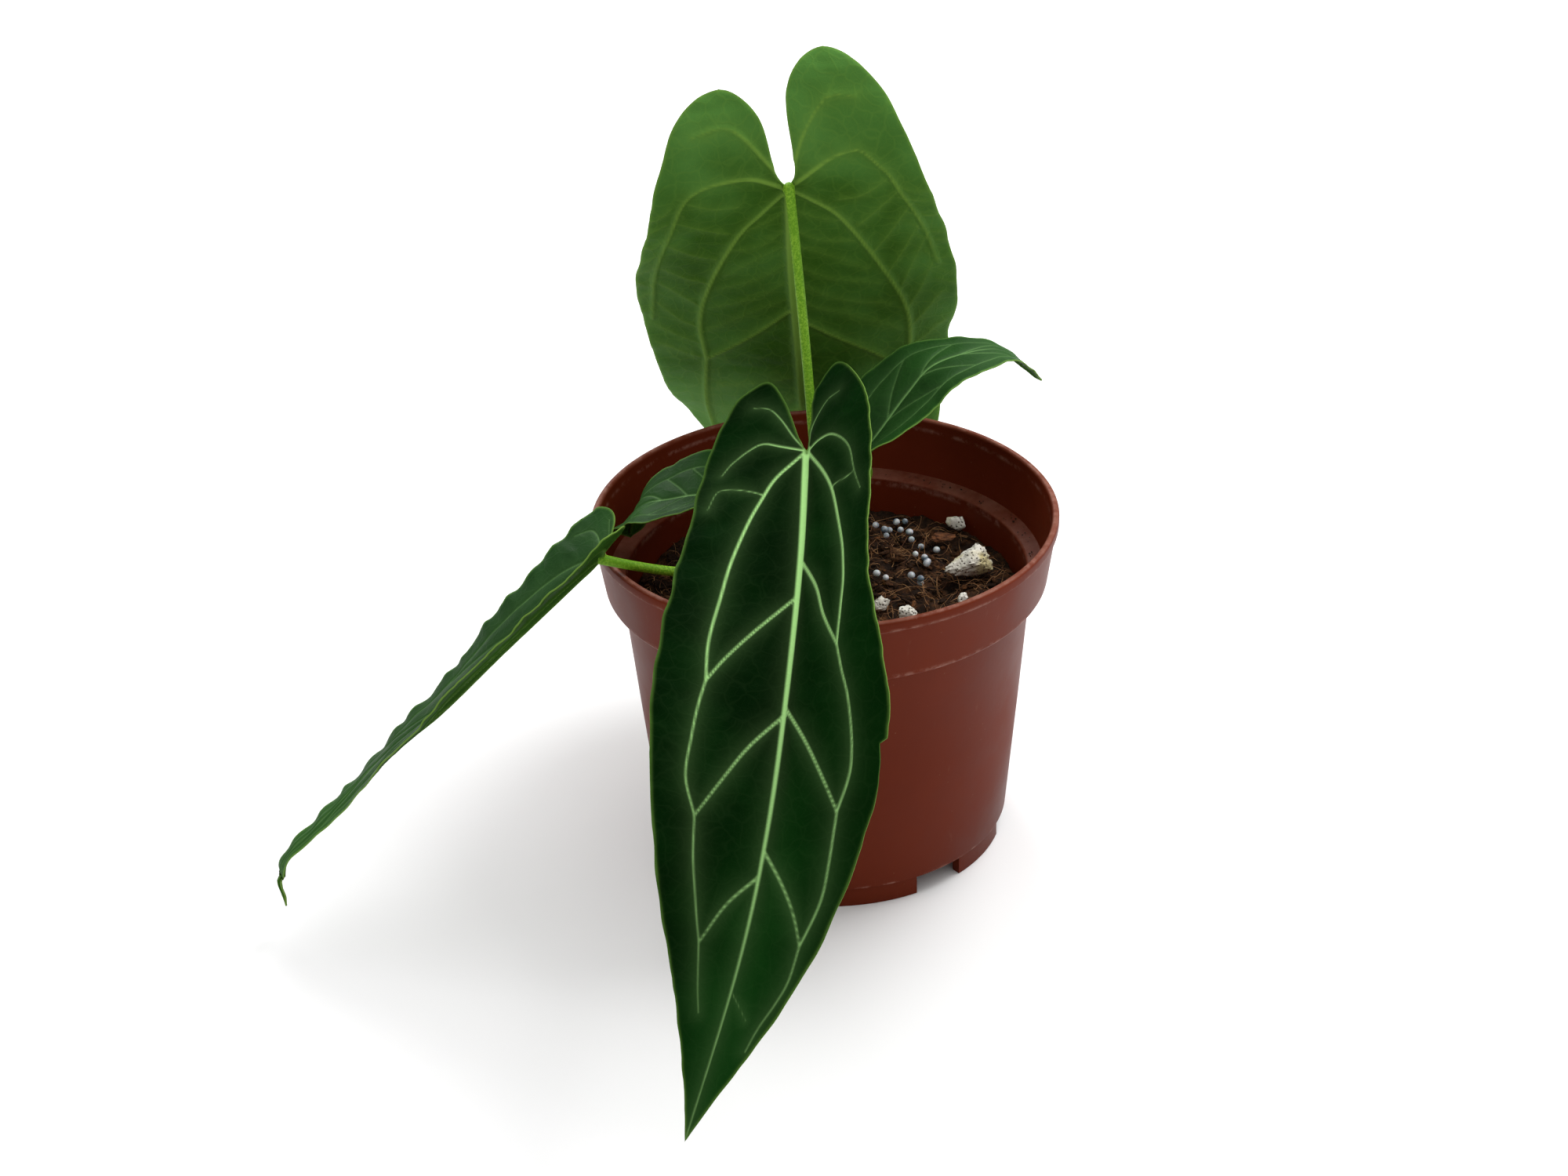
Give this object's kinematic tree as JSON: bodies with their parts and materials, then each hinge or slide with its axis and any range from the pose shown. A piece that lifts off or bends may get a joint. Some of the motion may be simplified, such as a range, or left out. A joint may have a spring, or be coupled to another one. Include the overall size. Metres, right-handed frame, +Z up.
{
  "type": "potted anthurium",
  "caption": "Young velvet-leaf anthurium with heart-shaped, pale-veined drooping leaves on slender stalks, growing from bark and pumice mix in a brown round nursery pot.",
  "frame": {"origin": "on the floor, under the middle of the whole plant's bounding box; the pot's axis stands 40.7 mm along +X and 35.5 mm along +Y from it", "axes": "+Z up; -Y towards the plant's front, where the long leaf hangs over the rim; +X to the plant's right seen from the front"},
  "size_m": [0.2013, 0.2339, 0.207],
  "materials": {
    "pot": "satin",
    "mix": "matte",
    "pumice": "matte",
    "bark": "matte",
    "fertiliser": "satin",
    "stem": "matte",
    "sheath": "matte",
    "air_root": "matte",
    "velvet_leaf": "matte",
    "leaf_underside": "satin",
    "satin_leaf": "satin",
    "stalk": "satin"
  },
  "bodies": {
    "root": {"nursery_pot": "pot", "potting_mix": "mix", "pumice_large": "pumice", "pumice_back": "pumice", "pumice_front_a": "pumice", "pumice_front_b": "pumice", "pumice_side": "pumice", "pumice_left": "pumice", "pumice_left_back": "pumice", "bark_chip_1": "bark", "bark_chip_2": "bark", "bark_chip_3": "bark", "bark_chip_4": "bark", "bark_chip_5": "bark", "fertiliser_prill_01": "fertiliser", "fertiliser_prill_02": "fertiliser", "fertiliser_prill_03": "fertiliser", "fertiliser_prill_04": "fertiliser", "fertiliser_prill_05": "fertiliser", "fertiliser_prill_06": "fertiliser", "fertiliser_prill_07": "fertiliser", "fertiliser_prill_08": "fertiliser", "fertiliser_prill_09": "fertiliser", "fertiliser_prill_10": "fertiliser", "fertiliser_prill_11": "fertiliser", "fertiliser_prill_12": "fertiliser", "fertiliser_prill_13": "fertiliser", "fertiliser_prill_14": "fertiliser", "fertiliser_prill_15": "fertiliser", "fertiliser_prill_16": "fertiliser", "stem": "stem", "sheath_1": "sheath", "sheath_2": "sheath", "air_root_1": "air_root", "air_root_2": "air_root", "air_root_3": "air_root", "leaf_blade_front": "velvet_leaf", "leaf_blade_back": "leaf_underside", "leaf_blade_right": "satin_leaf", "leaf_blade_inner": "satin_leaf", "leaf_blade_left": "satin_leaf", "leaf_stalk_front": "stalk", "leaf_stalk_back": "stalk", "leaf_stalk_right": "stalk", "leaf_stalk_inner": "stalk", "leaf_stalk_left": "stalk"}
  },
  "joints": []
}
